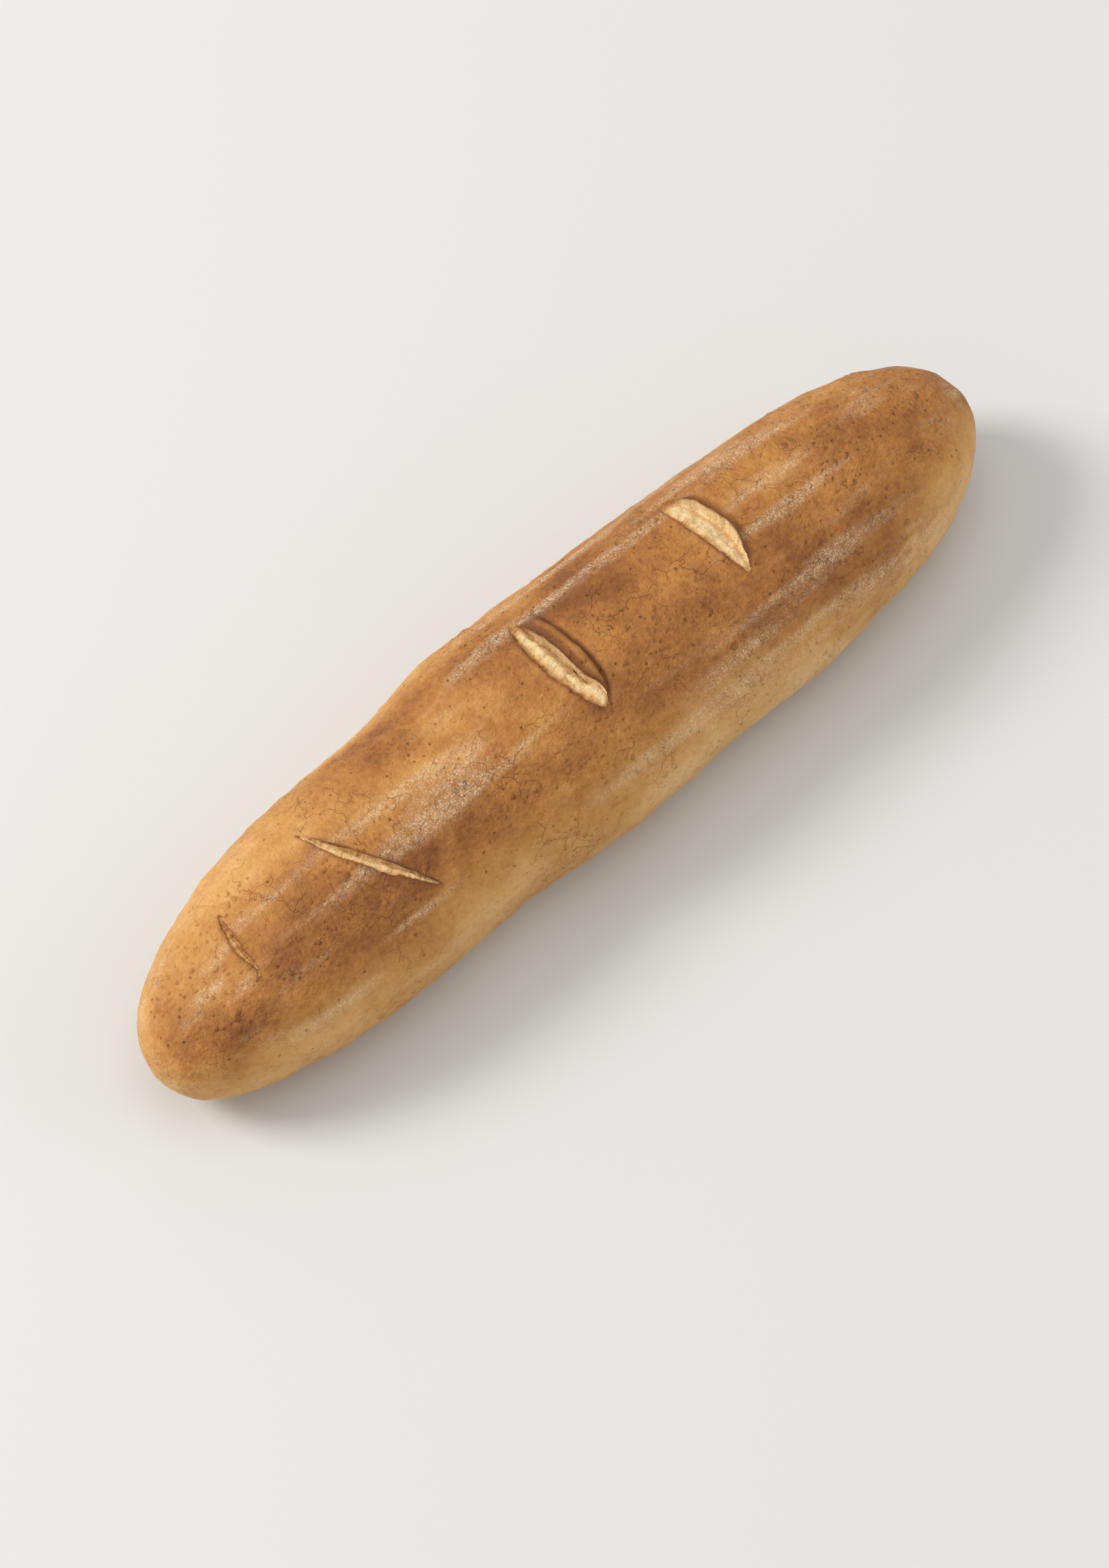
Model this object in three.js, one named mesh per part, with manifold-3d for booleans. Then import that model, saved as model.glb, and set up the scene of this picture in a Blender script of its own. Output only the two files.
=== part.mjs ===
// A demi-baguette: one hand-shaped loaf with four slashes across its crown, baked as a single piece.
// Millimetres, +Z up, +X along the loaf. The origin is the middle of the footprint, on the flat base.
import * as THREE from 'three';
import { mergeVertices } from 'three/addons/utils/BufferGeometryUtils.js';
import Module from 'manifold-3d';

// ---- driving dimensions, millimetres unless said otherwise ----

const LENGTH = 270;
const HALF_LENGTH = LENGTH / 2;
const CROWN_HEIGHT = 46;
const CROWN_HALF_WIDTH = 31; // the half-width at which the crown is CROWN_HEIGHT high

// Half-widths of the loaf at places along it: [x, towards +Y, towards -Y]. The dough swells between
// its slashes and draws in beside them, by another amount on each side, as a hand-rolled loaf does.
const STATIONS = [
  [-135, 26.5, 29.5],
  [-100, 29, 31.5],
  [-70, 29.5, 30.5],
  [-40, 29.5, 28.5],
  [-20, 31.5, 30.5],
  [0, 31, 31.5],
  [30, 30, 31.5],
  [55, 29, 32],
  [80, 28.5, 31],
  [105, 29, 30.5],
  [135, 29.5, 29.5],
];

// Rounding of the two ends. The outline in plan is (1 - u ** blunt) ** (1 / square), with u running
// from 0 in the middle of the loaf to 1 at its tip. The height closes in with it, a little sooner.
const SLIM_END = { blunt: 3.2, square: 2.8 };
const FULL_END = { blunt: 4.7, square: 2 };
const HEIGHT_ROUNDING = 0.9;
const TIP_SWAY = 3.5; // the slim tip, at -X, bends this far towards -Y
const SWAY_SHARPNESS = 6; // power of u: only the last stretch of the loaf bends

// Cross-section: a superellipse, widest at WAIST_HEIGHT, where the tips are too. Its lower half
// reaches below the oven floor by SINK, and the floor cuts it off to leave the flat base.
const SECTION_POWER = 2.25;
const WAIST_HEIGHT = 18;
const SINK = 5;

// The slashes, from the -X end to the +X end. Each runs from one point of the plan to another, and its
// two edges bow to the side of that line: ahead towards +X and behind towards -X, both measured
// in the middle. Undercut is how far the bottom of the cut runs in beneath its +X edge.
const SLASHES = [
  { from: [-107, -9.5], to: [-104, 8.5], ahead: -0.6, behind: 2, depth: 1.6, undercut: 0 },
  { from: [-59.5, -21.5], to: [-78, 10.5], ahead: -1, behind: 4, depth: 3.5, undercut: 1 },
  { from: [-0.8, -16], to: [-1.7, 17.5], ahead: 1, behind: 5, depth: 5.5, undercut: 2.5 },
  { from: [49.6, -13], to: [47.8, 19], ahead: 7, behind: 1.2, depth: 4.5, undercut: 1.5 },
];

// The ear: the flap of crust that the widest slash lifted along its +X edge.
const EAR = { from: [0, -16], to: [0.6, 18.5], ahead: 5, behind: 0.8, depth: 1.8, undercut: 0 };

const FLOOR_MARGIN = 10; // the oven floor's block is larger than the loaf by this much all round

// Facets: round the loaf, along the loaf, round a slash and along a slash.
const LOAF_AROUND = 52;
const LOAF_ALONG = 54;
const SLASH_AROUND = 14;
const SLASH_ALONG = 18;

// ---- the loaf's form ----

const positions = STATIONS.map(([x]) => x);
const halfWidths = STATIONS.flatMap(([, left, right]) => [left, right]);
const widthCurve = new THREE.CubicInterpolant(positions, halfWidths, 2);

/** The cross-section at x: its half-widths, its reach above and below the waist, its middle line. */
function sectionAt(x) {
  const u = THREE.MathUtils.clamp(x / HALF_LENGTH, -1, 1);
  const { blunt, square } = u < 0 ? SLIM_END : FULL_END;
  const rounding = (1 - Math.abs(u) ** blunt) ** (1 / square);
  const heightRounding = rounding ** HEIGHT_ROUNDING;
  const [left, right] = widthCurve.evaluate(x);
  const fullness = (left + right) / (2 * CROWN_HALF_WIDTH);
  return {
    left: left * rounding,
    right: right * rounding,
    above: (CROWN_HEIGHT * fullness - WAIST_HEIGHT) * heightRounding,
    below: (WAIST_HEIGHT + SINK) * heightRounding,
    middle: -TIP_SWAY * Math.max(0, -u) ** SWAY_SHARPNESS,
  };
}

/** Signed power, which turns a circle into a superellipse. */
function superpower(value) {
  return Math.sign(value) * Math.abs(value) ** (2 / SECTION_POWER);
}

/** Height of the crust above a point of the plan. */
function crustHeight(x, y) {
  const { left, right, above, middle } = sectionAt(x);
  const across = Math.min(1, Math.abs(y - middle) / (y > middle ? left : right));
  const arch = (1 - across ** SECTION_POWER) ** (1 / SECTION_POWER);
  return WAIST_HEIGHT + above * arch;
}

// ---- solids ----

const wasm = await Module();
wasm.setup();

/** A closed three.js geometry as a solid that can be joined and cut. */
function toSolid(geometry) {
  const bare = geometry.clone();
  bare.deleteAttribute('normal');
  bare.deleteAttribute('uv');
  const merged = mergeVertices(bare);
  const mesh = new wasm.Mesh({
    numProp: 3,
    vertProperties: Float32Array.from(merged.attributes.position.array),
    triVerts: Uint32Array.from(merged.index.array),
  });
  return new wasm.Manifold(mesh);
}

/** The solid as a three.js geometry again. */
function toGeometry(solid) {
  const { vertProperties, triVerts } = solid.getMesh();
  const geometry = new THREE.BufferGeometry();
  geometry.setAttribute('position', new THREE.BufferAttribute(vertProperties, 3));
  geometry.setIndex(new THREE.BufferAttribute(triVerts, 1));
  geometry.computeVertexNormals();
  return geometry;
}

/** Moves every point of a geometry to where place(point) puts it. */
function reshape(geometry, place) {
  const { position } = geometry.attributes;
  const point = new THREE.Vector3();
  for (let i = 0; i < position.count; i += 1) {
    point.fromBufferAttribute(position, i);
    place(point);
    position.setXYZ(i, point.x, point.y, point.z);
  }
  return geometry;
}

/** The whole loaf before it is slashed: a sphere with its poles at the tips, drawn out to the form. */
function loafForm() {
  const sphere = new THREE.SphereGeometry(1, LOAF_AROUND, LOAF_ALONG);
  sphere.rotateZ(-Math.PI / 2);
  return reshape(sphere, (point) => {
    const around = Math.atan2(point.z, point.y);
    const x = point.x * HALF_LENGTH;
    const { left, right, above, below, middle } = sectionAt(x);
    const side = superpower(Math.cos(around));
    const up = superpower(Math.sin(around));
    const y = middle + side * (side > 0 ? left : right);
    const z = WAIST_HEIGHT + up * (up > 0 ? above : below);
    point.set(x, y, z);
  });
}

/** A lens laid along the crust: it cuts a slash, or raises a lip where it is joined on. */
function lens({ from, to, ahead, behind, depth, undercut }) {
  const start = new THREE.Vector2(...from);
  const end = new THREE.Vector2(...to);
  const along = end.clone().sub(start).normalize();
  const sideways = new THREE.Vector2(along.y, -along.x);
  const bow = (ahead - behind) / 2;
  const halfWidth = (ahead + behind) / 2;
  const sphere = new THREE.SphereGeometry(1, SLASH_AROUND, SLASH_ALONG);
  return reshape(sphere, (point) => {
    const opening = Math.sqrt(Math.max(0, 1 - point.y ** 2));
    const aside = bow * opening ** 2 + halfWidth * opening * point.x - undercut * point.z;
    const plan = start.clone().lerp(end, (point.y + 1) / 2).addScaledVector(sideways, aside);
    point.set(plan.x, plan.y, crustHeight(plan.x, plan.y) + depth * point.z);
  });
}

/** The block under the loaf, whose top is the surface it was baked on. */
function ovenFloor() {
  const size = LENGTH + 2 * FLOOR_MARGIN;
  return new THREE.BoxGeometry(size, size, size).translate(0, 0, -size / 2);
}

function bakedLoaf() {
  let loaf = toSolid(loafForm());
  loaf = loaf.add(toSolid(lens(EAR)));
  for (const slash of SLASHES) {
    loaf = loaf.subtract(toSolid(lens(slash)));
  }
  return loaf.subtract(toSolid(ovenFloor()));
}

// ---- the part ----

const crust = new THREE.MeshStandardMaterial({ color: 0xc07a34, roughness: 0.75, metalness: 0 });

const geometry = toGeometry(bakedLoaf());
geometry.computeBoundingBox();
const footprint = geometry.boundingBox.getCenter(new THREE.Vector3());
geometry.translate(-footprint.x, -footprint.y, 0);

const loaf = new THREE.Mesh(geometry, crust);
loaf.name = 'loaf';

const baguette = new THREE.Group();
baguette.add(loaf);

export default baguette;
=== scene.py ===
"""A demi-baguette lying on a plain pale floor.

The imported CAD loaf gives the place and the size. One fine mesh stands in for it: the same form, with its
slashes torn open, its ear lifted, and the lumps, blisters, pits and flour of a real crust.
"""
import itertools
import math
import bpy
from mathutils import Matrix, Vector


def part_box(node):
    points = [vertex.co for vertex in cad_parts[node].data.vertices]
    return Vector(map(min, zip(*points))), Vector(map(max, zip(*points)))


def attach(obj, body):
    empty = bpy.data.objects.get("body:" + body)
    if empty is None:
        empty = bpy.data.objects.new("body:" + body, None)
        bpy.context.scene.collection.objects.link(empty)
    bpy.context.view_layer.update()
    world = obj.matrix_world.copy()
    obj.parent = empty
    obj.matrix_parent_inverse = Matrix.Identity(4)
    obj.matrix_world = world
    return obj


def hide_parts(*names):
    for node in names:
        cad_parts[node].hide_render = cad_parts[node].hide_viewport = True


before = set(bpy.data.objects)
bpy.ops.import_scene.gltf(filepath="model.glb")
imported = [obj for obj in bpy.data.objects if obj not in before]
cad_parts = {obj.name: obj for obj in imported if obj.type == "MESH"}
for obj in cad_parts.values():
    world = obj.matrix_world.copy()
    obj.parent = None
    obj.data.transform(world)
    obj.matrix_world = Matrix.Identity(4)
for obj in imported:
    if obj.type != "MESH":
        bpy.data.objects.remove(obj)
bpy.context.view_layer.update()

from types import SimpleNamespace

import bpy
import numpy as np
from mathutils import Vector

LOW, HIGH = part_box("loaf")

# ---- the form, in millimetres, as in the CAD model ----

LENGTH = 270.0
HALF_LENGTH = LENGTH / 2
CROWN_HEIGHT = 46.0
CROWN_HALF_WIDTH = 31.0

# Half-widths at places along the loaf: [x, towards +Y, towards -Y].
STATIONS = np.array([
    [-135, 26.5, 29.5],
    [-100, 29, 31.5],
    [-70, 29.5, 30.5],
    [-40, 29.5, 28.5],
    [-20, 31.5, 30.5],
    [0, 31, 31.5],
    [30, 30, 31.5],
    [55, 29, 32],
    [80, 28.5, 31],
    [105, 29, 30.5],
    [135, 29.5, 29.5],
])

SLIM_END = (3.2, 2.8)  # powers that round the end at -X: how blunt, how square
FULL_END = (4.7, 2.0)  # the same for the end at +X
HEIGHT_ROUNDING = 0.9
TIP_SWAY = 3.5  # the tip at -X bends this far towards -Y
SWAY_SHARPNESS = 6
TIP_SWELL = 1.1  # a slight dome over the blunt tip at -X
TIP_REACH = 14.0
SECTION_POWER = 2.25
WAIST_HEIGHT = 18.0  # height at which the loaf is widest
SINK = 5.0  # how far the form reaches below the oven floor, which flattens it
FLOOR_ROUNDING = 1.6  # height over which the side turns into the flat base

MM = (HIGH.x - LOW.x) / LENGTH  # one of the form's millimetres, in metres

# ---- the slashes ----

# How a torn slash folds, from its crust edge at -X to the root of its ear at +X. Each row holds the
# share of the mesh used so far, the place across (0 crust edge, 1 free edge of the ear, 2 root of
# the ear) and the height, as a share of the slash's depth.
EARED_FOLD = np.array([
    [0.00, 0.00, 0.00],
    [0.04, 0.02, -0.16],
    [0.12, 0.13, -0.27],
    [0.26, 0.40, -0.20],
    [0.40, 0.70, -0.24],
    [0.50, 0.97, -0.52],
    [0.57, 1.20, -0.95],
    [0.62, 1.22, -0.62],
    [0.68, 1.06, 0.02],
    [0.72, 0.99, 0.32],
    [0.75, 1.00, 0.54],
    [0.79, 1.09, 0.62],
    [0.87, 1.46, 0.58],
    [0.93, 1.76, 0.46],
    [0.965, 1.90, 0.26],
    [0.985, 1.97, 0.02],
    [1.00, 2.00, -0.12],
])
EARED_LIP = 0.71  # share of the mesh at which torn crumb gives way to crust

# A slash that opened with no ear: a trough whose far wall rises steeply to a slight lip.
TROUGH_FOLD = np.array([
    [0.00, 0.00, 0.00],
    [0.05, 0.03, -0.16],
    [0.16, 0.14, -0.36],
    [0.32, 0.38, -0.36],
    [0.48, 0.68, -0.52],
    [0.60, 0.94, -0.90],
    [0.67, 1.06, -0.90],
    [0.73, 1.07, -0.40],
    [0.79, 1.00, 0.10],
    [0.85, 1.10, 0.24],
    [0.93, 1.50, 0.14],
    [1.00, 2.00, 0.00],
])
TROUGH_LIP = 0.77

# Each slash runs from one point of the plan to another. Its edges bow ahead, towards +X, and behind,
# towards -X, by these amounts in its middle; the ear or lip is as wide as it says beyond that.
# An open end keeps its width to the last and fades out into the crust instead of closing.
# Pale is how pale its crumb is, from 0 to 1.
SLASHES = [
    dict(start=(-107, -9.5), end=(-104, 8.5), ahead=-0.5, behind=2.2, ear=1.5, depth=1.3,
         eared=False, open_end=False, pale=0.25),
    dict(start=(-59.5, -21.5), end=(-78, 10.5), ahead=-1.1, behind=4.0, ear=2.2, depth=2.6,
         eared=False, open_end=False, pale=0.7),
    dict(start=(-0.8, -16), end=(-1.7, 17.5), ahead=0.9, behind=5.1, ear=5.0, depth=4.8,
         eared=True, open_end=True, pale=0.95),
    dict(start=(49.6, -13), end=(47.4, 18.5), ahead=6.8, behind=1.2, ear=2.6, depth=4.2,
         eared=False, open_end=True, pale=0.95),
]

RAGGED_SHARE = 0.12  # how ragged a torn edge is, as a share of how far it bows behind
RAGGED_MOST = 0.35  # and the most it may be, in millimetres
EAR_ROOTED = -0.86  # place along a slash up to which its ear's edge is still part of the crust
EAR_FREE = -0.42  # and from which it stands free
EAR_RIM = 0.9  # width of what is left of the ear where it is still part of the crust
SETTLED = 0.86  # place along a slash past which its folds shift less and less sideways
WAVER = 0.22  # how unevenly the folds rise along a slash
RUN_APART = 17.0  # how far apart the slashes read the noise, so that no two tear alike
STRANDS_APART = 40
TIGHTEST = 0.61  # share of the mesh beside the undercut, where relief has little room

# ---- mesh density ----

ALONG = 430  # rings of the mesh along the loaf
AROUND = 232  # points in each ring
COARSE = 0.98  # relative spacing of the rings over plain crust
FINE = 0.24  # and at the slashes
FINE_MARGIN = 1.5  # how far the fine rings reach past a slash
FINE_FADE = 3.0  # and over what length they give way to coarse ones
SIDE_SPACING = 0.92  # relative spacing of the lines from tip to tip, over the sides
CROWN_SPACING = 0.52  # over the crown
BASE_SPACING = 1.3  # and over the base

SEED = 7

# ---- noise ----

# Each use of the noise has a seed of its own, so that no two patterns line up.


def hashed(cells, seed):
    """A number from 0 to 1 for each whole-numbered cell, the same on every run."""
    mixed = cells[..., 0] * 374761393 + cells[..., 1] * 668265263 + cells[..., 2] * 2147483629
    mixed = mixed + (seed + SEED) * 144665
    mixed = (mixed ^ (mixed >> 13)) * 1274126177
    mixed = mixed ^ (mixed >> 16)
    return (mixed & 0xFFFFFF) / float(0x1000000)


def noise(points, wavelength, seed):
    """Smooth noise, mostly from -1 to 1. The wavelength may differ along x, y and z."""
    scaled = points / np.asarray(wavelength, float)
    cell = np.floor(scaled).astype(np.int64)
    part = scaled - cell
    fade = part ** 3 * (part * (part * 6 - 15) + 10)
    total = np.zeros(points.shape[:-1])
    for corner in itertools.product((0, 1), repeat=3):
        corner = np.array(corner)
        slope = np.stack([hashed(cell + corner, seed + k) for k in range(3)], axis=-1) * 2 - 1
        weight = np.prod(np.where(corner, fade, 1 - fade), axis=-1)
        total += weight * (slope * (part - corner)).sum(-1)
    return total * 1.8


def fractal(points, wavelength, octaves, seed):
    """Noise with finer and fainter noise on top of it."""
    wavelength = np.asarray(wavelength, float)
    return sum(
        noise(points, wavelength / 2 ** k, seed + 11 * k) / 2 ** k for k in range(octaves)
    )


def bubbles(points, cell, chance, seed):
    """Round domes of many sizes, at most one to a cell: 1 at the top of the tallest, 0 between them."""
    home = np.floor(points / cell).astype(np.int64)
    tallest = np.zeros(points.shape[:-1])
    for offset in itertools.product((-1, 0, 1), repeat=3):
        spot = home + np.array(offset)
        centre = np.stack([hashed(spot, seed + k) for k in range(3)], axis=-1)
        size = hashed(spot, seed + 3)
        radius = cell * (0.22 + 0.38 * size ** 2)
        away = np.linalg.norm(points - (spot + centre) * cell, axis=-1) / radius
        dome = np.clip(1 - away ** 2, 0, 1) ** 1.3 * (0.45 + 0.55 * size)
        tallest = np.maximum(tallest, np.where(hashed(spot, seed + 4) < chance, dome, 0))
    return tallest


def smooth_step(low, high, value):
    """0 up to low, 1 from high on, and smooth between them; low may be the larger of the two."""
    t = np.clip((value - low) / (high - low), 0, 1)
    return t * t * (3 - 2 * t)


# ---- the smooth form ----


def curve_through(knots, values, at):
    """Reads, at every point of at, the smooth curve that passes through values at the knots."""
    slopes = np.empty_like(values)
    steps = np.diff(knots)[:, None]
    slopes[1:-1] = (values[2:] - values[:-2]) / (knots[2:] - knots[:-2])[:, None]
    slopes[0] = (values[1] - values[0]) / steps[0]
    slopes[-1] = (values[-1] - values[-2]) / steps[-1]
    i = np.clip(np.searchsorted(knots, at, side="right") - 1, 0, len(knots) - 2)
    step = (knots[i + 1] - knots[i])[..., None]
    t = (at - knots[i])[..., None] / step
    from_values = (2 * t ** 3 - 3 * t ** 2 + 1) * values[i] + (3 * t ** 2 - 2 * t ** 3) * values[i + 1]
    from_slopes = (t ** 3 - 2 * t ** 2 + t) * slopes[i] + (t ** 3 - t ** 2) * slopes[i + 1]
    return from_values + step * from_slopes


def section(x):
    """The cross-section at x: its half-widths, its reach above and below the waist, its middle line."""
    u = np.clip(x / HALF_LENGTH, -1, 1)
    blunt, square = (np.where(u < 0, slim, full) for slim, full in zip(SLIM_END, FULL_END))
    rounding = (1 - np.abs(u) ** blunt) ** (1 / square)
    widths = curve_through(STATIONS[:, 0], STATIONS[:, 1:], x)
    left, right = widths[..., 0], widths[..., 1]
    fullness = (left + right) / (2 * CROWN_HALF_WIDTH)
    above = (CROWN_HEIGHT * fullness - WAIST_HEIGHT) * rounding ** HEIGHT_ROUNDING
    below = (WAIST_HEIGHT + SINK) * rounding ** HEIGHT_ROUNDING
    middle = -TIP_SWAY * np.maximum(0, -u) ** SWAY_SHARPNESS
    return left * rounding, right * rounding, above, below, middle


def superpower(value):
    return np.sign(value) * np.abs(value) ** (2 / SECTION_POWER)


def form_points(x, angle):
    """Points of the smooth loaf before the oven floor flattens it. The angle is 90 degrees at the crown."""
    left, right, above, below, middle = section(x)
    side = superpower(np.cos(angle))
    up = superpower(np.sin(angle))
    y = middle + side * np.where(side > 0, left, right)
    z = WAIST_HEIGHT + up * np.where(up > 0, above, below)
    return np.stack([np.broadcast_to(x, y.shape), y, z], axis=-1)


def round_tip(points):
    """Swells the blunt tip at -X a little, into a dome."""
    away = np.hypot(points[..., 1] + TIP_SWAY, points[..., 2] - WAIST_HEIGHT) / TIP_REACH
    swell = TIP_SWELL * np.clip(1 - away ** 2, 0, 1) ** 2
    swell = np.where(points[..., 0] < 0, swell, 0)
    return points - np.stack([swell, np.zeros_like(swell), np.zeros_like(swell)], axis=-1)


def crust_height(x, y):
    """Height of the smooth crust above a point of the plan."""
    left, right, above, _, middle = section(x)
    across = np.minimum(1, np.abs(y - middle) / np.maximum(1e-6, np.where(y > middle, left, right)))
    return WAIST_HEIGHT + above * (1 - across ** SECTION_POWER) ** (1 / SECTION_POWER)


def normals_of(grid):
    """Outward normals of a grid of points that closes on itself round the loaf."""
    closed = np.concatenate([grid[:, -1:], grid, grid[:, :1]], axis=1)
    along = np.gradient(grid, axis=0)
    around = np.gradient(closed, axis=1)[:, 1:-1]
    normal = np.cross(around, along)
    return normal / np.maximum(1e-12, np.linalg.norm(normal, axis=-1, keepdims=True))


# ---- the mesh's lines ----


def even_steps(path, spacing, count):
    """Places along a path of points, as fractional indices, so that steps follow the wanted spacing."""
    step = np.linalg.norm(np.diff(path, axis=0), axis=1)
    used = np.concatenate([[0], np.cumsum(step / (spacing[1:] + spacing[:-1]) * 2)])
    return np.interp(np.linspace(0, used[-1], count), used, np.arange(len(path)))


def middle_crossing(slash):
    """x at which a slash crosses the loaf's middle, and its lean there: x for each millimetre of y."""
    (start_x, start_y), (end_x, end_y) = slash["start"], slash["end"]
    lean = (end_x - start_x) / (end_y - start_y)
    return start_x - start_y * lean, lean


def ring_lean(x):
    """How far a ring of the mesh leans, as x for each millimetre of y, to lie along the slashes near it."""
    knots = [(-HALF_LENGTH, 0)]
    for slash in SLASHES:
        crossing, lean = middle_crossing(slash)
        knots += [(crossing - slash["behind"], lean), (crossing + slash["behind"], lean)]
    knots.append((HALF_LENGTH, 0))
    return np.interp(x, *np.transpose(knots))


def lines_along():
    """x of each ring of the mesh on the middle line, closer together at the slashes."""
    k = np.linspace(-1, 1, 8001)
    x = np.sign(k) * (1 - (1 - np.abs(k)) ** 4) * HALF_LENGTH
    left, right, *_ = section(x)
    meridian = np.stack([x, (left + right) / 2], axis=-1)
    spacing = np.full_like(x, COARSE)
    for slash in SLASHES:
        crossing, _ = middle_crossing(slash)
        low = crossing - slash["behind"] - FINE_MARGIN
        high = crossing + max(0, slash["ahead"]) + slash["ear"] + FINE_MARGIN
        near = smooth_step(low - FINE_FADE, low, x) * (1 - smooth_step(high, high + FINE_FADE, x))
        spacing = np.minimum(spacing, COARSE + near * (FINE - COARSE))
    places = even_steps(meridian, spacing, ALONG + 2)
    return np.interp(places, np.arange(len(x)), x)[1:-1]


def lines_around():
    """Angle of each line that runs from tip to tip, closer together over the crown."""
    angle = np.linspace(-np.pi / 2, 1.5 * np.pi, 4001)
    path = form_points(np.zeros_like(angle), angle)
    under_floor = path[:, 2] < 0
    crown = smooth_step(0.1, 0.75, np.sin(angle))
    over_floor = SIDE_SPACING + (CROWN_SPACING - SIDE_SPACING) * crown
    spacing = np.where(under_floor, BASE_SPACING, over_floor)
    places = even_steps(path, spacing, AROUND + 1)
    return np.interp(places, np.arange(len(angle)), angle)[:-1]


# ---- tearing the slashes ----


def ridge(distance, width):
    """1 at no distance, falling away smoothly on both sides."""
    return np.exp(-(distance / width) ** 2)


def slash_frame(slash, x, y):
    """Place along a slash, from -1 to 1, distance across it and half its length in millimetres,
    and the direction across it, towards +X."""
    start = np.array(slash["start"], float)
    end = np.array(slash["end"], float)
    half = np.linalg.norm(end - start) / 2
    along = (end - start) / (2 * half)
    sideways = np.array([along[1], -along[0]])
    from_start = np.stack([x, y], axis=-1) - start
    return (from_start @ along) / half - 1, from_start @ sideways, half, sideways


def slash_outline(slash, t):
    """How open the slash is at t, and how deep, each as a share of its middle."""
    inside = np.clip(np.abs(t), 0, 1)
    lens = 1 - inside ** 2
    if not slash["open_end"]:
        return lens, np.sqrt(lens)
    kept = (1 - 0.12 * inside ** 2) * np.sqrt(1 - smooth_step(0.55, 1, inside))
    closing = np.sqrt(lens) if slash["eared"] else lens ** 0.85
    opening = np.where(t > 0, kept, lens)
    depth = np.where(t > 0, 1 - smooth_step(0.4, 1, t), closing)
    return opening, depth


def rounded_lens(t):
    """Width of a lens with rounded ends at t, as a share of its middle."""
    return np.clip(1 - t ** 2, 0, 1) ** 0.6


def slash_edges(slash, t, run, opening):
    """Distance across of the crust edge, of the ear's free edge and of its root, and how far the
    ear stands free, from 0 to 1."""
    bow = rounded_lens(t) if slash["eared"] else opening
    ragged = np.minimum(RAGGED_MOST, RAGGED_SHARE * slash["behind"]) * opening ** 0.5
    crust_edge = -slash["behind"] * bow + ragged * fractal(run, 5, 2, 100)
    free_edge = slash["ahead"] * bow + ragged * fractal(run, 4, 3, 130)
    if not slash["eared"]:
        root = free_edge + slash["ear"] * np.maximum(0.05, opening)
        return crust_edge, free_edge, root, np.ones_like(t)
    flap = smooth_step(EAR_ROOTED, EAR_FREE, t)
    root = (slash["ahead"] + slash["ear"]) * np.where(t > 0, 1, bow)
    free_edge = free_edge * flap + (root - EAR_RIM) * (1 - flap)
    return crust_edge, free_edge, root, flap


def fade_at_ends(slash, t):
    """1 along a slash, and 0 just past its ends. At an open end it fades out sooner."""
    if slash["open_end"]:
        return smooth_step(-1.05, -0.8, t) * smooth_step(1.0, 0.5, t)
    return smooth_step(1.05, 0.8, np.abs(t))


def mark_crumb(slash, number, skin, cut, looks):
    """Where the torn crumb of a slash shows, how pale it is, and how its fibres run."""
    begins = smooth_step(0, 0.03, cut.share)
    ends_at_lip = 1 - smooth_step(cut.lip - 0.02, cut.lip + 0.02, cut.share)
    ends = 1 - smooth_step(0.9, 1.0, np.abs(cut.t))
    if slash["open_end"] and not slash["eared"]:
        last = 0.79 + 0.1 * (cut.share - 0.4) + 0.1 * noise(skin, (3, 6, 3), 170)
        ends = np.where(cut.t > 0, 1 - smooth_step(last - 0.1, last + 0.1, cut.t), ends)
    looks["crumb"] = np.maximum(looks["crumb"], cut.inside * begins * ends_at_lip * ends)

    from_edge = 0.1 + 0.9 * smooth_step(0.03, 0.38, cut.share)
    pale = from_edge * smooth_step(0, 0.6, cut.depth) * slash["pale"]
    looks["shade"] = np.maximum(looks["shade"], cut.inside * pale)
    room = (0.3 + 0.7 * cut.depth * cut.flap) * (1 - 0.75 * ridge(cut.share - TIGHTEST, 0.07))
    relief = min(1, slash["depth"] / 4) * room
    looks["relief"] = np.where(cut.inside, relief, looks["relief"])
    looks["strand_t"] = np.where(cut.inside, cut.t * cut.half + STRANDS_APART * number, looks["strand_t"])
    looks["strand_w"] = np.where(cut.inside, cut.moved, looks["strand_w"])


def mark_edges(slash, cut, looks):
    """The browner edges of a slash, the painted shade along the crease at the root of its ear, and the top
    of its ear.
    """
    lip = ridge(cut.share - cut.lip - 0.04, 0.07) * cut.inside
    rim = ridge(cut.across - cut.crust_edge, 0.7) * cut.top * 0.5
    edge = np.maximum(lip, rim) * smooth_step(0, 0.4, cut.depth)
    looks["edge"] = np.maximum(looks["edge"], edge)
    if slash["eared"]:
        fading = smooth_step(-1.05, -0.8, cut.t) * smooth_step(1, 0.8, cut.t)
        # Painted shade: the crease at the ear's root is marked to be darkened.
        painted_crease_shade = ridge(cut.across - cut.root, 0.75) * cut.top * fading
        looks["painted_crease_shade"] = np.maximum(looks["painted_crease_shade"], painted_crease_shade)
        top_of_ear = smooth_step(1.25, 1.5, cut.place) * (1 - smooth_step(1.75, 1.95, cut.place))
        ear = fade_at_ends(slash, cut.t) * cut.inside * top_of_ear
        looks["ear"] = np.maximum(looks["ear"], ear)


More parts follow.
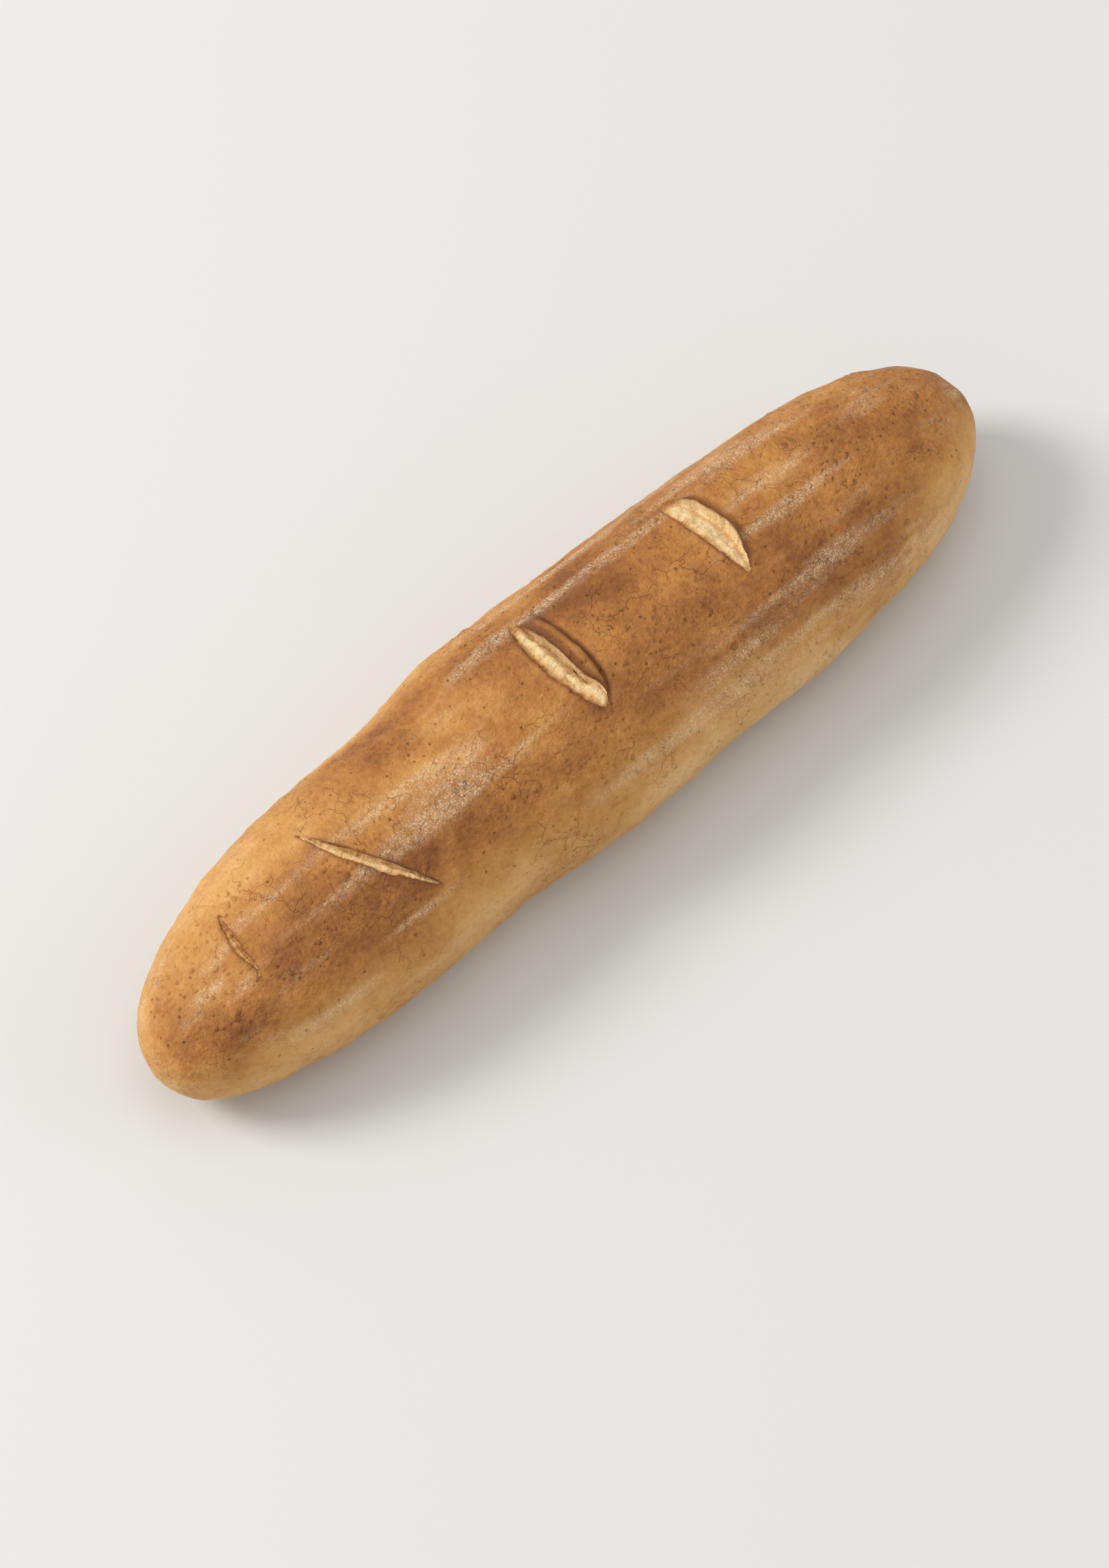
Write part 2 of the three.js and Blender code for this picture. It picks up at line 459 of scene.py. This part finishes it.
def tear(slash, number, skin, normal, looks):
    """Folds the mesh along one slash and marks its crumb, its edges and its ear."""
    x, y, z = np.moveaxis(skin, -1, 0)
    t, across, half, sideways = slash_frame(slash, x, y)
    opening, depth = slash_outline(slash, t)
    run = np.stack([t * half, np.full_like(t, RUN_APART * number), np.zeros_like(t)], axis=-1)
    crust_edge, free_edge, root, flap = slash_edges(slash, t, run, opening)
    share = (across - crust_edge) / np.maximum(1e-6, root - crust_edge)
    top = (z > WAIST_HEIGHT) & (np.abs(t) < 1)
    inside = top & (share > 0) & (share < 1)

    fold, lip = (EARED_FOLD, EARED_LIP) if slash["eared"] else (TROUGH_FOLD, TROUGH_LIP)
    folded = curve_through(fold[:, 0], fold[:, 1:], np.clip(share, 0, 1))
    place, height = folded[..., 0], folded[..., 1]
    rise = flap * (0.7 + 0.3 * rounded_lens(t))
    height = height * np.where(height > 0, rise, 0.5 + 0.5 * flap)
    crumb_part = crust_edge + place * (free_edge - crust_edge)
    ear_part = free_edge + (place - 1) * (root - free_edge)
    moved = np.where(place < 1, crumb_part, ear_part)
    settled = 1 - smooth_step(SETTLED, 1, np.abs(t))
    shift = np.where(inside, (moved - across) * settled, 0)
    waver = 1 + WAVER * noise(run, 7, 160)
    lift = np.where(inside, height * slash["depth"] * depth * waver, 0)

    new_x = x + shift * sideways[0]
    new_y = y + shift * sideways[1]
    drop = crust_height(new_x, new_y) - crust_height(x, y)
    torn = skin + np.stack([new_x - x, new_y - y, drop], axis=-1) * inside[..., None]
    torn = torn + normal * lift[..., None]

    cut = SimpleNamespace(
        t=t, half=half, across=across, share=share, place=place, moved=moved, depth=depth,
        flap=flap, crust_edge=crust_edge, root=root, lip=lip, top=top, inside=inside,
    )
    mark_crumb(slash, number, skin, cut, looks)
    mark_edges(slash, cut, looks)

    rim_rise = 0.12 * slash["depth"] * ridge(across - crust_edge, 1.6)
    root_dip = (0.15 if slash["eared"] else 0.08) * slash["depth"] * ridge(across - root, 1.0)
    swell = (rim_rise - root_dip) * fade_at_ends(slash, t) * (z > WAIST_HEIGHT)
    return torn + normal * swell[..., None]


# ---- the crust's own relief ----

BLISTER_HEIGHT = 0.6
SMALL_BLISTER_HEIGHT = 0.28
DIMPLE_DEPTH = 0.19
CALM_FROM = 0.86  # share of the half-length past which the blisters shrink towards the tips
CALM_TO = 0.97


def soft_floor(z):
    """Flattens what would sink below the oven floor, with a rounded turn into the flat."""
    near = (z + FLOOR_ROUNDING) ** 2 / (4 * FLOOR_ROUNDING)
    return np.where(z > FLOOR_ROUNDING, z, np.where(z > -FLOOR_ROUNDING, near, 0))


def crust_relief(smooth, x):
    """Blisters and dimples, as height above the smooth crust, and the two sizes of blister."""
    blister = bubbles(smooth, 4.6, 0.5, 300) * smooth_step(-0.1, 0.45, noise(smooth, 22, 310))
    small = bubbles(smooth, 2.3, 0.5, 320) * smooth_step(0, 0.45, noise(smooth, 17, 330))
    dimples = fractal(smooth, 6.0, 3, 340) * DIMPLE_DEPTH
    calm = 1 - 0.8 * smooth_step(CALM_FROM, CALM_TO, np.abs(x) / HALF_LENGTH)
    blistering = blister * BLISTER_HEIGHT + small * SMALL_BLISTER_HEIGHT
    return calm * blistering + dimples, blister, small


def crumb_relief(looks):
    """The fibres and pores of torn crumb: how high the fibres stand and how deep the pores are."""
    along, across = looks["strand_t"], looks["strand_w"]
    strand = np.stack([along, across, np.zeros_like(along)], axis=-1)
    webs = fractal(strand, (1.5, 5, 1), 3, 400) * 0.44 + fractal(strand, (5, 2.4, 1), 2, 410) * 0.36
    pores = bubbles(strand, 2.6, 0.6, 420) * 0.9
    return webs, pores


def base_hollows(smooth, x):
    """Depth of the base's shallow pits, and of the seam along which the dough was closed."""
    plan = smooth * (1, 1, 0)
    pits = bubbles(plan, 7.5, 0.5, 500) * 0.9 + bubbles(plan, 3.4, 0.4, 510) * 0.35
    wandering = 2.5 + 2 * noise(smooth * (1, 0, 0), 40, 520)
    seam = ridge(smooth[..., 1] - wandering, 1.1)
    seam = seam * smooth_step(HALF_LENGTH, HALF_LENGTH * 0.7, np.abs(x)) * 0.8
    return pits, seam


def shape_loaf():
    """The finished surface as a grid of points, and what each point looks like."""
    x, angle = np.meshgrid(lines_along(), lines_around(), indexing="ij")
    level = form_points(x, angle)
    x = x + ring_lean(x) * level[..., 1] * smooth_step(0.1, 0.6, np.sin(angle))
    smooth = round_tip(form_points(x, angle))
    normal = normals_of(smooth)
    names = ("crumb", "shade", "edge", "painted_crease_shade", "ear", "relief", "strand_t", "strand_w")
    looks = {name: np.zeros_like(x) for name in names}

    skin = smooth
    for number, slash in enumerate(SLASHES):
        skin = tear(slash, number, skin, normal, looks)
    lumps = fractal(smooth, (46, 34, 34), 2, 200) * 0.55 + fractal(smooth, 14, 2, 220) * 0.3
    skin = skin + normal * lumps[..., None]
    fine_normal = normals_of(skin)

    crumb = looks["crumb"]
    under = 1 - smooth_step(-3.0, 0.5, smooth[..., 2])
    blistered, blister, small = crust_relief(smooth, x)
    webs, pores = crumb_relief(looks)
    relief = (1 - crumb) * (1 - under) * blistered + crumb * looks["relief"] * (webs - pores)
    # Standing fibres of the crumb are toasted darker; its pores are darkened too, as painted shade.
    looks["shade"] = np.clip(looks["shade"] - crumb * (0.35 * webs + 0.15 * pores), 0, 1)
    skin = skin + fine_normal * relief[..., None]

    pits, seam = base_hollows(smooth, x)
    z = soft_floor(skin[..., 2]) + under * np.maximum(pits, seam)
    skin = np.stack([skin[..., 0], skin[..., 1], np.maximum(z, 0)], axis=-1)

    raised = lumps + 0.7 * blister + 0.5 * small
    # Brown by baking, with painted shade darkening the crease at the ear's root.
    looks["bake_and_crease_shade"] = browning_and_crease_shade(smooth, normal, looks, raised, under, seam, pits)
    looks["flour"] = flouring(smooth, normal, looks, under, pits)
    return skin, looks


# ---- browning with painted shade in the ear's crease, and flour, each from 0 to 1 ----

SIDE_BROWN = 0.28
CROWN_BROWN = 0.33  # added where the crust faces up
TIP_BROWN = 0.12  # added at the tips
PATCH_BROWN = 0.2  # how far large patches differ
LUMP_BROWN = 0.1  # added on each millimetre of a lump
LOW_PALE = 0.22  # taken off the pale band just above the base
LOW_PALE_HEIGHT = 5.0
LOW_PALE_SPREAD = 4.5
EDGE_BROWN = 0.38
# Painted shade: how much darker the crease at the ear's root is made.
CREASE_PAINTED_SHADE = 0.32
EAR_PALE = 0.10
BASE_BROWN = 0.40
STREAK_FLOUR = 0.42
BASE_FLOUR = 0.22


def browning_and_crease_shade(smooth, normal, looks, raised, under, seam, pits):
    """How brown the crust is, and the painted shade that darkens the crease at the ear's root. Raised is
    the height of its lumps and blisters.
    """
    tip = smooth_step(0.72, 1.0, np.abs(smooth[..., 0]) / HALF_LENGTH)
    low = ridge(smooth[..., 2] - LOW_PALE_HEIGHT, LOW_PALE_SPREAD) * (1 - under)
    brown_and_crease_shade = SIDE_BROWN + CROWN_BROWN * smooth_step(0, 1, normal[..., 2]) + TIP_BROWN * tip
    brown_and_crease_shade = brown_and_crease_shade + PATCH_BROWN * fractal(smooth, (46, 24, 24), 3, 600) + LUMP_BROWN * raised
    brown_and_crease_shade = brown_and_crease_shade - LOW_PALE * low - EAR_PALE * looks["ear"]
    # Slash edges toasted darker; the crease at the ear's root darkened as painted shade.
    brown_and_crease_shade = brown_and_crease_shade + EDGE_BROWN * looks["edge"] + CREASE_PAINTED_SHADE * looks["painted_crease_shade"]
    base = BASE_BROWN + 0.12 * fractal(smooth, (30, 14, 14), 3, 620) - 0.12 * seam - 0.25 * pits
    return np.clip(brown_and_crease_shade * (1 - under) + base * under, 0, 1)


def flouring(smooth, normal, looks, under, pits):
    """How floury the crust is: streaks along the crown, and an even dust on the base."""
    streaks = smooth_step(0.05, 1.1, fractal(smooth, (80, 6, 6), 3, 640) + 0.3 * noise(smooth, 40, 650))
    bare = (1 - looks["crumb"]) * (1 - looks["edge"])
    flour = STREAK_FLOUR * streaks * smooth_step(-0.3, 0.2, normal[..., 2]) * bare
    dust = smooth_step(-0.4, 0.8, fractal(smooth, (26, 10, 10), 3, 660))
    base = BASE_FLOUR + 0.2 * dust + 0.25 * pits
    return np.clip(flour * (1 - under) + base * under, 0, 1)


# ---- the mesh ----


def grid_faces(rings, around):
    """Faces between neighbouring rings, and a fan of them from each tip to the ring next to it."""
    ring, spoke = np.meshgrid(np.arange(rings - 1), np.arange(around), indexing="ij")
    after = (spoke + 1) % around
    quads = np.stack([
        ring * around + spoke,
        ring * around + after,
        (ring + 1) * around + after,
        (ring + 1) * around + spoke,
    ], axis=-1).reshape(-1, 4)
    spoke = np.arange(around)
    after = (spoke + 1) % around
    first = np.full(around, rings * around)
    last = first + 1
    start_fan = np.stack([first, after, spoke], axis=-1)
    end_fan = np.stack([last, (rings - 1) * around + spoke, (rings - 1) * around + after], axis=-1)
    return quads.tolist() + start_fan.tolist() + end_fan.tolist()


def add_bake_map(mesh, rings, around):
    """A map named OFBake, whose u runs from tip to tip and whose v runs round the loaf."""
    v_here = np.arange(around) / around
    v_after = v_here + 1 / around
    u_ring = np.arange(rings) / (rings + 1) + 1 / (rings + 1)
    quad_u = np.stack([u_ring[:-1], u_ring[:-1], u_ring[1:], u_ring[1:]], axis=-1)
    quad_v = np.stack([v_here, v_after, v_after, v_here], axis=-1)
    quad_uv = np.stack(np.broadcast_arrays(quad_u[:, None], quad_v[None]), axis=-1).reshape(-1, 2)
    middle = (v_here + v_after) / 2
    start_uv = np.stack([
        np.stack([np.zeros(around), middle], -1),
        np.stack([np.full(around, u_ring[0]), v_after], -1),
        np.stack([np.full(around, u_ring[0]), v_here], -1),
    ], axis=1).reshape(-1, 2)
    end_uv = np.stack([
        np.stack([np.ones(around), middle], -1),
        np.stack([np.full(around, u_ring[-1]), v_here], -1),
        np.stack([np.full(around, u_ring[-1]), v_after], -1),
    ], axis=1).reshape(-1, 2)
    layer = mesh.uv_layers.new(name="OFBake")
    layer.uv.foreach_set("vector", np.concatenate([quad_uv, start_uv, end_uv]).ravel())


def grid_mesh(name, grid):
    """A closed mesh from a grid of rings, with a point at each tip."""
    rings, around = grid.shape[:2]
    tips = np.stack([grid[0].mean(0), grid[-1].mean(0)])
    points = np.concatenate([grid.reshape(-1, 3), tips])
    mesh = bpy.data.meshes.new(name)
    mesh.from_pydata(points.tolist(), [], grid_faces(rings, around))
    mesh.polygons.foreach_set("use_smooth", np.ones(len(mesh.polygons), bool))
    add_bake_map(mesh, rings, around)
    mesh.update()
    return mesh


def add_look(mesh, name, values):
    """Stores one number for each point of the mesh, for its material to read."""
    at_tips = [values[0].mean(), values[-1].mean()]
    attribute = mesh.attributes.new(name, "FLOAT", "POINT")
    attribute.data.foreach_set("value", np.concatenate([values.ravel(), at_tips]).astype(np.float32))


def add_fibre(mesh, along, across):
    """Stores the place along and across a slash, so that torn crumb can show its fibres."""
    fibre = np.stack([along, across, np.zeros_like(along)], axis=-1).reshape(-1, 3)
    fibre = np.concatenate([fibre, np.zeros((2, 3))])
    attribute = mesh.attributes.new("fibre", "FLOAT_VECTOR", "POINT")
    attribute.data.foreach_set("vector", fibre.astype(np.float32).ravel())


def add_loaf():
    skin, looks = shape_loaf()
    x = np.linspace(-HALF_LENGTH, HALF_LENGTH, 2001)
    sides = [form_points(x, np.full_like(x, angle))[:, 1] for angle in (0, np.pi)]
    middle = (sides[0].max() + sides[1].min()) / 2
    centre = (LOW + HIGH) / 2
    place = skin * MM + np.array([centre.x, centre.y - middle * MM, LOW.z])
    mesh = grid_mesh("loaf_crust", place)
    for name in ("crumb", "shade", "bake_and_crease_shade", "flour"):
        add_look(mesh, name, looks[name])
    add_fibre(mesh, looks["strand_t"], looks["strand_w"])
    loaf = bpy.data.objects.new("loaf_crust", mesh)
    bpy.context.scene.collection.objects.link(loaf)
    mesh.materials.append(crust_material())
    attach(loaf, "root")
    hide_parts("loaf")


# ---- materials ----


class Shader:
    """A material's node tree, and short calls to fill it."""

    def __init__(self, name):
        self.material = bpy.data.materials.new(name)
        self.material.use_nodes = True
        self.tree = self.material.node_tree
        self.surface = self.tree.nodes["Principled BSDF"]
        self.object_place = self.add("ShaderNodeTexCoord").outputs["Object"]

    def add(self, kind, inputs=None, **settings):
        made = self.tree.nodes.new(kind)
        for name, value in settings.items():
            setattr(made, name, value)
        for name, value in (inputs or {}).items():
            self.plug(made.inputs[name], value)
        return made

    def plug(self, socket, value):
        if isinstance(value, bpy.types.NodeSocket):
            self.tree.links.new(value, socket)
        else:
            socket.default_value = value

    def math(self, operation, a, b, clamp=False):
        return self.add("ShaderNodeMath", {0: a, 1: b}, operation=operation, use_clamp=clamp).outputs[0]

    def plus(self, a, b, clamp=False):
        return self.math("ADD", a, b, clamp)

    def minus(self, a, b):
        return self.math("SUBTRACT", a, b)

    def times(self, a, b):
        return self.math("MULTIPLY", a, b)

    def swing(self, value, amount):
        """A value from 0 to 1 made to swing either side of 0, by up to half the amount."""
        return self.times(self.minus(value, 0.5), amount)

    def look(self, name):
        return self.add("ShaderNodeAttribute", attribute_name=name).outputs["Fac"]

    def grain(self, wavelength, detail=3.0, roughness=0.55):
        """Noise from 0 to 1 whose largest features are this many millimetres apart."""
        scale = 1 / (wavelength * MM)
        inputs = {"Vector": self.object_place, "Scale": scale, "Detail": detail, "Roughness": roughness}
        return self.add("ShaderNodeTexNoise", inputs).outputs["Fac"]

    def wandering(self, distance, wavelength):
        """The place on the object, led astray by noise by up to about half the distance."""
        inputs = {"Vector": self.object_place, "Scale": 1 / (wavelength * MM), "Detail": 3.0}
        made = self.add("ShaderNodeTexNoise", inputs).outputs["Color"]
        offset = self.add("ShaderNodeVectorMath", {0: made, 1: (0.5, 0.5, 0.5)}, operation="SUBTRACT")
        inputs = {0: offset.outputs[0], "Scale": distance * MM}
        offset = self.add("ShaderNodeVectorMath", inputs, operation="SCALE")
        inputs = {0: self.object_place, 1: offset.outputs[0]}
        return self.add("ShaderNodeVectorMath", inputs, operation="ADD").outputs[0]

    def cells(self, place, cell):
        """How far the nearest cell's middle is, and two draws from 0 to 1 for each cell."""
        made = self.add("ShaderNodeTexVoronoi", {"Vector": place, "Scale": 1 / (cell * MM)}, feature="F1")
        draws = self.add("ShaderNodeSeparateColor", {"Color": made.outputs["Color"]}).outputs
        return made.outputs["Distance"], draws[0], draws[1]

    def blisters(self, cell, share):
        """Uneven little domes in this share of the cells: up to 1 at their tops, 0 between them."""
        distance, chance, draw = self.cells(self.wandering(0.9 * cell, 1.3 * cell), cell)
        size = self.plus(self.times(draw, 0.65), 0.3)
        stops = [(0.0, 1.0), (0.2, 0.85), (0.36, 0.4), (0.48, 0.0)]
        dome = self.times(self.ramp(self.math("DIVIDE", distance, size), stops), size)
        return self.times(dome, self.math("LESS_THAN", chance, share))

    def pinholes(self, cell, share):
        """Specks in this share of the cells, 1 inside one and 0 between them."""
        distance, chance, _ = self.cells(self.object_place, cell)
        speck = self.ramp(distance, [(0.07, 1.0), (0.17, 0.0)])
        return self.times(speck, self.math("LESS_THAN", chance, share))

    def crackle(self, cell):
        """A net of hairlines, 1 on a line and 0 off it, that comes and goes over the surface."""
        inputs = {"Vector": self.wandering(0.9 * cell, 0.6 * cell), "Scale": 1 / (cell * MM)}
        made = self.add("ShaderNodeTexVoronoi", inputs, feature="DISTANCE_TO_EDGE")
        line = self.ramp(made.outputs["Distance"], [(0.0, 1.0), (0.016, 0.0)])
        shown = self.ramp(self.grain(17, 2), [(0.52, 0.0), (0.62, 1.0)])
        return self.times(line, shown)

    def ramp(self, factor, stops):
        """A colour, or a grey, for each value of factor; stops are (place, colour)."""
        made = self.add("ShaderNodeValToRGB", {"Fac": factor})
        elements = made.color_ramp.elements
        while len(elements) < len(stops):
            elements.new(0.5)
        for element, (place, colour) in zip(elements, stops):
            element.position = place
            element.color = (*colour, 1) if isinstance(colour, tuple) else (colour, colour, colour, 1)
        return made.outputs["Color"]

    def blend(self, factor, a, b):
        """A colour between a and b."""
        made = self.add("ShaderNodeMix", data_type="RGBA", blend_type="MIX")
        self.plug(made.inputs[0], factor)
        self.plug(made.inputs[6], (*a, 1) if isinstance(a, tuple) else a)
        self.plug(made.inputs[7], (*b, 1) if isinstance(b, tuple) else b)
        return made.outputs[2]

    def between(self, factor, a, b):
        """A number between a and b."""
        made = self.add("ShaderNodeMix", data_type="FLOAT")
        self.plug(made.inputs[0], factor)
        self.plug(made.inputs[2], a)
        self.plug(made.inputs[3], b)
        return made.outputs[0]


# Colours of the crust from the palest to the darkest, and of the crumb from the darkest to the palest.
CRUST_TONES = [
    (0.00, (0.78, 0.505, 0.23)),
    (0.20, (0.69, 0.385, 0.135)),
    (0.40, (0.56, 0.27, 0.072)),
    (0.58, (0.42, 0.170, 0.036)),
    (0.76, (0.25, 0.085, 0.017)),
    (1.00, (0.15, 0.048, 0.012)),
]
CRUMB_TONES = [
    (0.00, (0.40, 0.17, 0.045)),
    (0.30, (0.64, 0.34, 0.11)),
    (0.62, (0.82, 0.54, 0.24)),
    (1.00, (0.92, 0.70, 0.40)),
]
FLOUR = (0.86, 0.72, 0.50)

CRUST_SPECULAR = 0.32
CRUMB_ROUGHNESS = 0.85
FLOUR_ROUGHNESS = 0.95
BUMP_STRENGTH = 0.9
BUMP_HEIGHT = 0.6  # millimetres


def crust_colour(s, marks):
    """Brown by how it baked, darker by painted shade along the crease at the ear's root, with mottling,
    freckles and darker blisters, cracks and pinholes.
    """
    tone = s.plus(s.look("bake_and_crease_shade"), s.swing(s.grain(7, 4, 0.55), 0.34))
    tone = s.plus(tone, s.times(s.plus(marks.coarse, marks.fine), 0.10))
    tone = s.plus(tone, s.times(marks.crackle, 0.10))
    tone = s.plus(tone, s.times(marks.pinholes, 0.18))
    freckle = s.swing(s.grain(1.6, 4, 0.65), 0.36)
    return s.ramp(s.plus(tone, freckle, clamp=True), CRUST_TONES)


def crumb_colour(s, marks):
    """Pale by how far the slash opened, with a grain and darker fibres."""
    grain = s.plus(s.minus(s.grain(1.3, 4, 0.65), 0.5), s.minus(marks.strands, 0.5))
    tone = s.plus(s.look("shade"), s.times(grain, 0.9), clamp=True)
    return s.ramp(tone, CRUMB_TONES)


def crumb_strands(s):
    """Fibres drawn out across the slash."""
    fibre = s.add("ShaderNodeAttribute", attribute_name="fibre").outputs["Vector"]
    stretched = s.add("ShaderNodeMapping", {"Vector": fibre, "Scale": (1.1, 0.28, 1)}).outputs[0]
    inputs = {"Vector": stretched, "Scale": 1.0, "Detail": 4.0, "Roughness": 0.6}
    return s.add("ShaderNodeTexNoise", inputs).outputs["Fac"]


def flour_dusting(s):
    """A thin film of flour with separate grains in it."""
    film = s.ramp(s.grain(2.5, 4, 0.65), [(0.35, 0.0), (0.7, 0.6)])
    grains = s.ramp(s.grain(0.45, 3, 0.7), [(0.50, 0.0), (0.62, 1.3)])
    return s.plus(s.times(s.look("flour"), film), s.times(s.look("flour"), grains), clamp=True)


def crust_bump(s, marks):
    pits = s.plus(s.times(s.grain(0.9, 4, 0.6), 0.9), s.times(s.grain(2.6, 2, 0.5), 1.2))
    domes = s.plus(s.times(marks.coarse, 1.7), s.times(marks.fine, 0.9))
    bump = s.minus(s.plus(pits, domes), s.times(marks.crackle, 0.35))
    return s.minus(bump, s.times(marks.pinholes, 0.7))


def crumb_bump(s, marks):
    bump = s.plus(s.times(marks.strands, 1.5), s.times(s.grain(0.9, 4, 0.7), 0.8))
    return s.minus(bump, s.times(s.blisters(1.1, 0.8), 0.6))


def crust_material():
    s = Shader("baked_crust")
    blistered = s.ramp(s.grain(20, 3, 0.6), [(0.42, 0.1), (0.60, 1.0)])
    marks = SimpleNamespace(
        coarse=s.times(s.blisters(3.1, 0.4), blistered),
        fine=s.times(s.blisters(1.4, 0.6), blistered),
        crackle=s.crackle(9.0),
        pinholes=s.pinholes(2.6, 0.35),
        strands=crumb_strands(s),
    )
    baked = s.blend(s.look("crumb"), crust_colour(s, marks), crumb_colour(s, marks))
    dusting = flour_dusting(s)
    s.plug(s.surface.inputs["Base Color"], s.blend(dusting, baked, FLOUR))

    gloss = s.ramp(s.grain(2.5, 3), [(0.3, 0.50), (0.7, 0.68)])
    rough = s.between(s.look("crumb"), gloss, CRUMB_ROUGHNESS)
    s.plug(s.surface.inputs["Roughness"], s.between(dusting, rough, FLOUR_ROUGHNESS))
    s.surface.inputs["Specular IOR Level"].default_value = CRUST_SPECULAR

    height = s.between(s.look("crumb"), crust_bump(s, marks), crumb_bump(s, marks))
    inputs = {"Height": height, "Strength": BUMP_STRENGTH, "Distance": BUMP_HEIGHT * MM}
    s.plug(s.surface.inputs["Normal"], s.add("ShaderNodeBump", inputs).outputs["Normal"])
    return s.material


def plain_material(name, colour, roughness):
    s = Shader(name)
    s.surface.inputs["Base Color"].default_value = (*colour, 1)
    s.surface.inputs["Roughness"].default_value = roughness
    return s.material


# ---- the stage ----

FLOOR_SIZE = 16.0
FLOOR_COLOUR = (0.66, 0.66, 0.655)
FLOOR_ROUGHNESS = 0.9

LENS = 135
SENSOR_WIDTH = 36
CAMERA_AZIMUTH = math.radians(-43.6)
CAMERA_ELEVATION = math.radians(60)
CAMERA_DISTANCE = 1.42
AIM_HEIGHT = 0.022
AIM_ASIDE = -0.0027  # the camera aims this far to the right of the loaf's middle, in its own plane
AIM_UP = -0.018  # and this far above it

# Square area lights that face the loaf: place and size in metres, power in watts, and tint.
SOFTBOXES = {
    "key_light": ((-1.45, 1.55, 1.7), 1.0, 56, (1.0, 0.98, 0.95)),
    "fill_light": ((1.8, -1.6, 1.4), 1.8, 9, (1, 1, 1)),
    "top_light": ((0.2, 0.2, 2.8), 2.2, 12, (1, 1, 1)),
}
WORLD_TINT = (1.0, 0.99, 0.97)
WORLD_STRENGTH = 0.6


def add_floor():
    mesh = bpy.data.meshes.new("floor")
    half = FLOOR_SIZE / 2
    corners = [(-half, -half, LOW.z), (half, -half, LOW.z), (half, half, LOW.z), (-half, half, LOW.z)]
    mesh.from_pydata(corners, [], [(0, 1, 2, 3)])
    mesh.materials.append(plain_material("floor_paper", FLOOR_COLOUR, FLOOR_ROUGHNESS))
    floor = bpy.data.objects.new("floor", mesh)
    bpy.context.scene.collection.objects.link(floor)


def add_camera():
    azimuth, elevation = CAMERA_AZIMUTH, CAMERA_ELEVATION
    level = math.cos(elevation)
    back = Vector((math.sin(azimuth) * level, -math.cos(azimuth) * level, math.sin(elevation)))
    right = Vector((math.cos(azimuth), math.sin(azimuth), 0))
    up = back.cross(right)
    centre = (LOW + HIGH) / 2
    aim = Vector((centre.x, centre.y, LOW.z + AIM_HEIGHT)) + right * AIM_ASIDE + up * AIM_UP
    data = bpy.data.cameras.new("camera")
    data.lens = LENS
    data.sensor_width = SENSOR_WIDTH
    camera = bpy.data.objects.new("camera", data)
    camera.location = aim + back * CAMERA_DISTANCE
    camera.rotation_euler = back.to_track_quat("Z", "Y").to_euler()
    bpy.context.scene.collection.objects.link(camera)
    bpy.context.scene.camera = camera


def add_lights():
    for name, (place, size, watts, tint) in SOFTBOXES.items():
        data = bpy.data.lights.new(name, "AREA")
        data.shape = "SQUARE"
        data.size = size
        data.energy = watts
        data.color = tint
        light = bpy.data.objects.new(name, data)
        light.location = place
        light.rotation_euler = Vector(place).to_track_quat("Z", "Y").to_euler()
        bpy.context.scene.collection.objects.link(light)
    world = bpy.data.worlds.new("studio")
    world.use_nodes = True
    background = world.node_tree.nodes["Background"]
    background.inputs["Color"].default_value = (*WORLD_TINT, 1)
    background.inputs["Strength"].default_value = WORLD_STRENGTH
    bpy.context.scene.world = world


add_camera()
add_floor()
add_lights()
add_loaf()
bpy.context.scene.view_settings.view_transform = "Standard"
